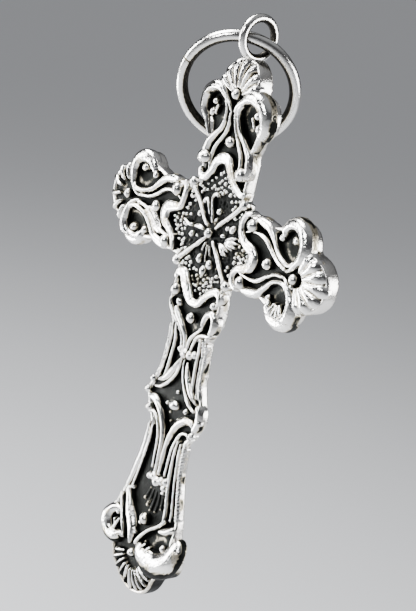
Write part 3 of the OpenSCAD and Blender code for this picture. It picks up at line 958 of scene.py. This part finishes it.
def wire_loop(name, node_name, body, centre, axis, mean, wire, seam):
    """A loop of drawn wire; with a seam it is a cut ring whose two ends butt together."""
    axis = Vector(axis).normalized()
    side = axis.orthogonal().normalized()
    up = axis.cross(side)
    turns, sides_n = 160, 32
    points, wear_and_shade, faces = [], [], []
    for i in range(turns):
        a = 2 * math.pi * i / turns
        out = side * math.cos(a) + up * math.sin(a)
        pinch = 0.93 if seam and i == seam else 1.0
        for k in range(sides_n):
            b = 2 * math.pi * k / sides_n
            p = Vector(centre) + out * (mean + wire * pinch * math.cos(b)) + axis * wire * pinch * math.sin(b)
            points.append(p)
            # Painted shade on the side of the wire that faces the middle of the loop; the seam is left dark.
            wear_and_shade.append(0.0 if pinch < 1 else 0.95 - 0.92 * float(smooth(-0.05, 0.4, -math.cos(b))))
    for i in range(turns):
        for k in range(sides_n):
            a, b = i * sides_n + k, i * sides_n + (k + 1) % sides_n
            c, d = (i + 1) % turns * sides_n + (k + 1) % sides_n, (i + 1) % turns * sides_n + k
            faces.append((a, d, c, b))
    mesh = bpy.data.meshes.new(name)
    mesh.from_pydata(points, [], faces)
    attribute = mesh.attributes.new("wear_and_shade", "FLOAT", "POINT")
    attribute.data.foreach_set("value", np.array(wear_and_shade, np.float32))
    return finish_piece(mesh, name, node_name, WIRE_SILVER, body)


def loop_pieces():
    """The eyelet and the jump ring, with their sizes read from the frame."""
    lo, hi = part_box("eyelet")
    wire = (hi.x - lo.x) / 2
    mean = (hi.z - lo.z) / 2 - wire
    wire_loop("eyelet_loop", "eyelet", "pendant", (lo + hi) / 2, (1, 0, 0), mean, wire, None)
    ring = next(m for m in frame["record"]["mounts"] if m["name"] == "jump_ring")
    axis = Vector(ring["axis"]).normalized()
    lo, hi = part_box("jump_ring")
    # A torus's half size along a row axis is mean * sqrt(1 - axis^2) + wire; two axes give both radii
    half = (hi - lo) / 2
    cx, cz = math.sqrt(1 - axis.x ** 2), math.sqrt(1 - axis.z ** 2)
    mean = (half.z - half.x) / (cz - cx)
    wire = half.z - mean * cz
    wire_loop("jump_ring_wire", "jump_ring", "ring", (lo + hi) / 2, axis, mean, wire, RING_SEAM)


# ---------------------------------------------------------------- stage
FLOOR_HALF = 6.0
FLOOR_DROP = 0.075


def floor_piece():
    """A plain pale floor a little below the cross."""
    mesh = bpy.data.meshes.new("floor")
    z = plate_lo.z - FLOOR_DROP
    corners = [(-FLOOR_HALF, -FLOOR_HALF, z), (FLOOR_HALF, -FLOOR_HALF, z), (FLOOR_HALF, FLOOR_HALF, z),
               (-FLOOR_HALF, FLOOR_HALF, z)]
    mesh.from_pydata(corners, [], [(0, 1, 2, 3)])
    floor = bpy.data.objects.new("floor", mesh)
    bpy.context.scene.collection.objects.link(floor)
    pale = bpy.data.materials.new("pale_floor")
    pale.use_nodes = True
    shader = pale.node_tree.nodes["Principled BSDF"]
    shader.inputs["Base Color"].default_value = (0.6, 0.61, 0.63, 1)
    shader.inputs["Roughness"].default_value = 0.9
    mesh.materials.append(pale)


def studio():
    """A dim room in reflections, so that polished metal shows black between the lights, and a plain grey
    background where the room itself is seen."""
    world = bpy.data.worlds.new("studio")
    world.use_nodes = True
    tree = world.node_tree
    back = tree.nodes["Background"]
    way = node(tree, "ShaderNodeTexCoord")
    split = node(tree, "ShaderNodeSeparateXYZ")
    tone = node(tree, "ShaderNodeValToRGB")
    tree.links.new(way.outputs["Generated"], split.inputs["Vector"])
    tree.links.new(split.outputs["Z"], tone.inputs["Fac"])
    tree.links.new(tone.outputs["Color"], back.inputs["Color"])
    ramp = tone.color_ramp
    ramp.elements[0].position, ramp.elements[0].color = 0.0, (0.2, 0.2, 0.21, 1)
    ramp.elements[1].position, ramp.elements[1].color = 0.9, (0.5, 0.51, 0.53, 1)
    stop = ramp.elements.new(0.45)
    stop.color = (0.06, 0.06, 0.065, 1)
    back.inputs["Strength"].default_value = 0.6
    seen = node(tree, "ShaderNodeBackground")
    seen.inputs["Color"].default_value = (0.25, 0.255, 0.262, 1)
    choose = node(tree, "ShaderNodeMixShader")
    path = node(tree, "ShaderNodeLightPath")
    tree.links.new(path.outputs["Is Camera Ray"], choose.inputs["Fac"])
    tree.links.new(back.outputs["Background"], choose.inputs[1])
    tree.links.new(seen.outputs["Background"], choose.inputs[2])
    tree.links.new(choose.outputs["Shader"], tree.nodes["World Output"].inputs["Surface"])
    bpy.context.scene.world = world


def lamp_object(name, light, place, aim):
    lamp = bpy.data.objects.new(name, light)
    bpy.context.scene.collection.objects.link(lamp)
    lamp.location = place
    lamp.rotation_mode = "QUATERNION"
    lamp.rotation_quaternion = (Vector(aim) - Vector(place)).to_track_quat("-Z", "Y")
    lamp.visible_camera = False


def softbox(name, place, aim, size, power):
    light = bpy.data.lights.new(name, "AREA")
    light.shape = "RECTANGLE"
    light.size, light.size_y = size
    light.energy = power
    lamp_object(name, light, place, aim)


def lights():
    aim = (0, 0, CROSSING.z)
    softbox("front_left", (-0.16, -0.15, 0.01), aim, (0.07, 0.15), 0.75)
    softbox("low_left", (-0.1, -0.07, CROSSING.z - 0.062), (0, 0, CROSSING.z - 0.028), (0.05, 0.03), 0.16)
    softbox("right_back", (0.17, 0.15, 0.01), aim, (0.12, 0.14), 0.65)
    softbox("front", (0.02, -0.2, 0.09), aim, (0.05, 0.05), 0.28)
    softbox("top_left", (-0.12, -0.06, 0.16), aim, (0.19, 0.1), 1.3)
    daylight = bpy.data.lights.new("overhead", "SUN")
    daylight.energy = 1.0
    daylight.angle = math.radians(28)
    lamp_object("overhead", daylight, (-0.1, -0.12, 0.25), (0, 0, 0))


LENS = 74.95


def camera():
    """The viewpoint: right of the front, a little above, with the cross leaning in the frame."""
    right = Vector((0.59086, 0.77692, 0.21745))
    up = Vector((-0.35148, 0.00528, 0.93618))
    back = right.cross(up)
    from_crossing = Vector((77.82, -65.74, 23.25)) * MM
    boss_top = Vector((0, CROSSING.y - 0.45 * MM, CROSSING.z))
    data = bpy.data.cameras.new("view")
    data.lens = LENS
    data.clip_start = 0.002
    data.clip_end = 50
    cam = bpy.data.objects.new("view", data)
    bpy.context.scene.collection.objects.link(cam)
    turned = Matrix((right, up, back)).transposed().to_4x4()
    cam.matrix_world = Matrix.Translation(boss_top + from_crossing) @ turned
    bpy.context.scene.camera = cam


camera()
plate_piece()
panel_piece()
centre_pieces()
sprig_top()
sprig_right()
sprig_bottom()
sprig_left()
granulation_piece()
bracket_pieces()
bead_pieces()
arm_pieces()
bow_pieces()
shaft_pieces()
foot_pieces()
loop_pieces()
floor_piece()
studio()
lights()
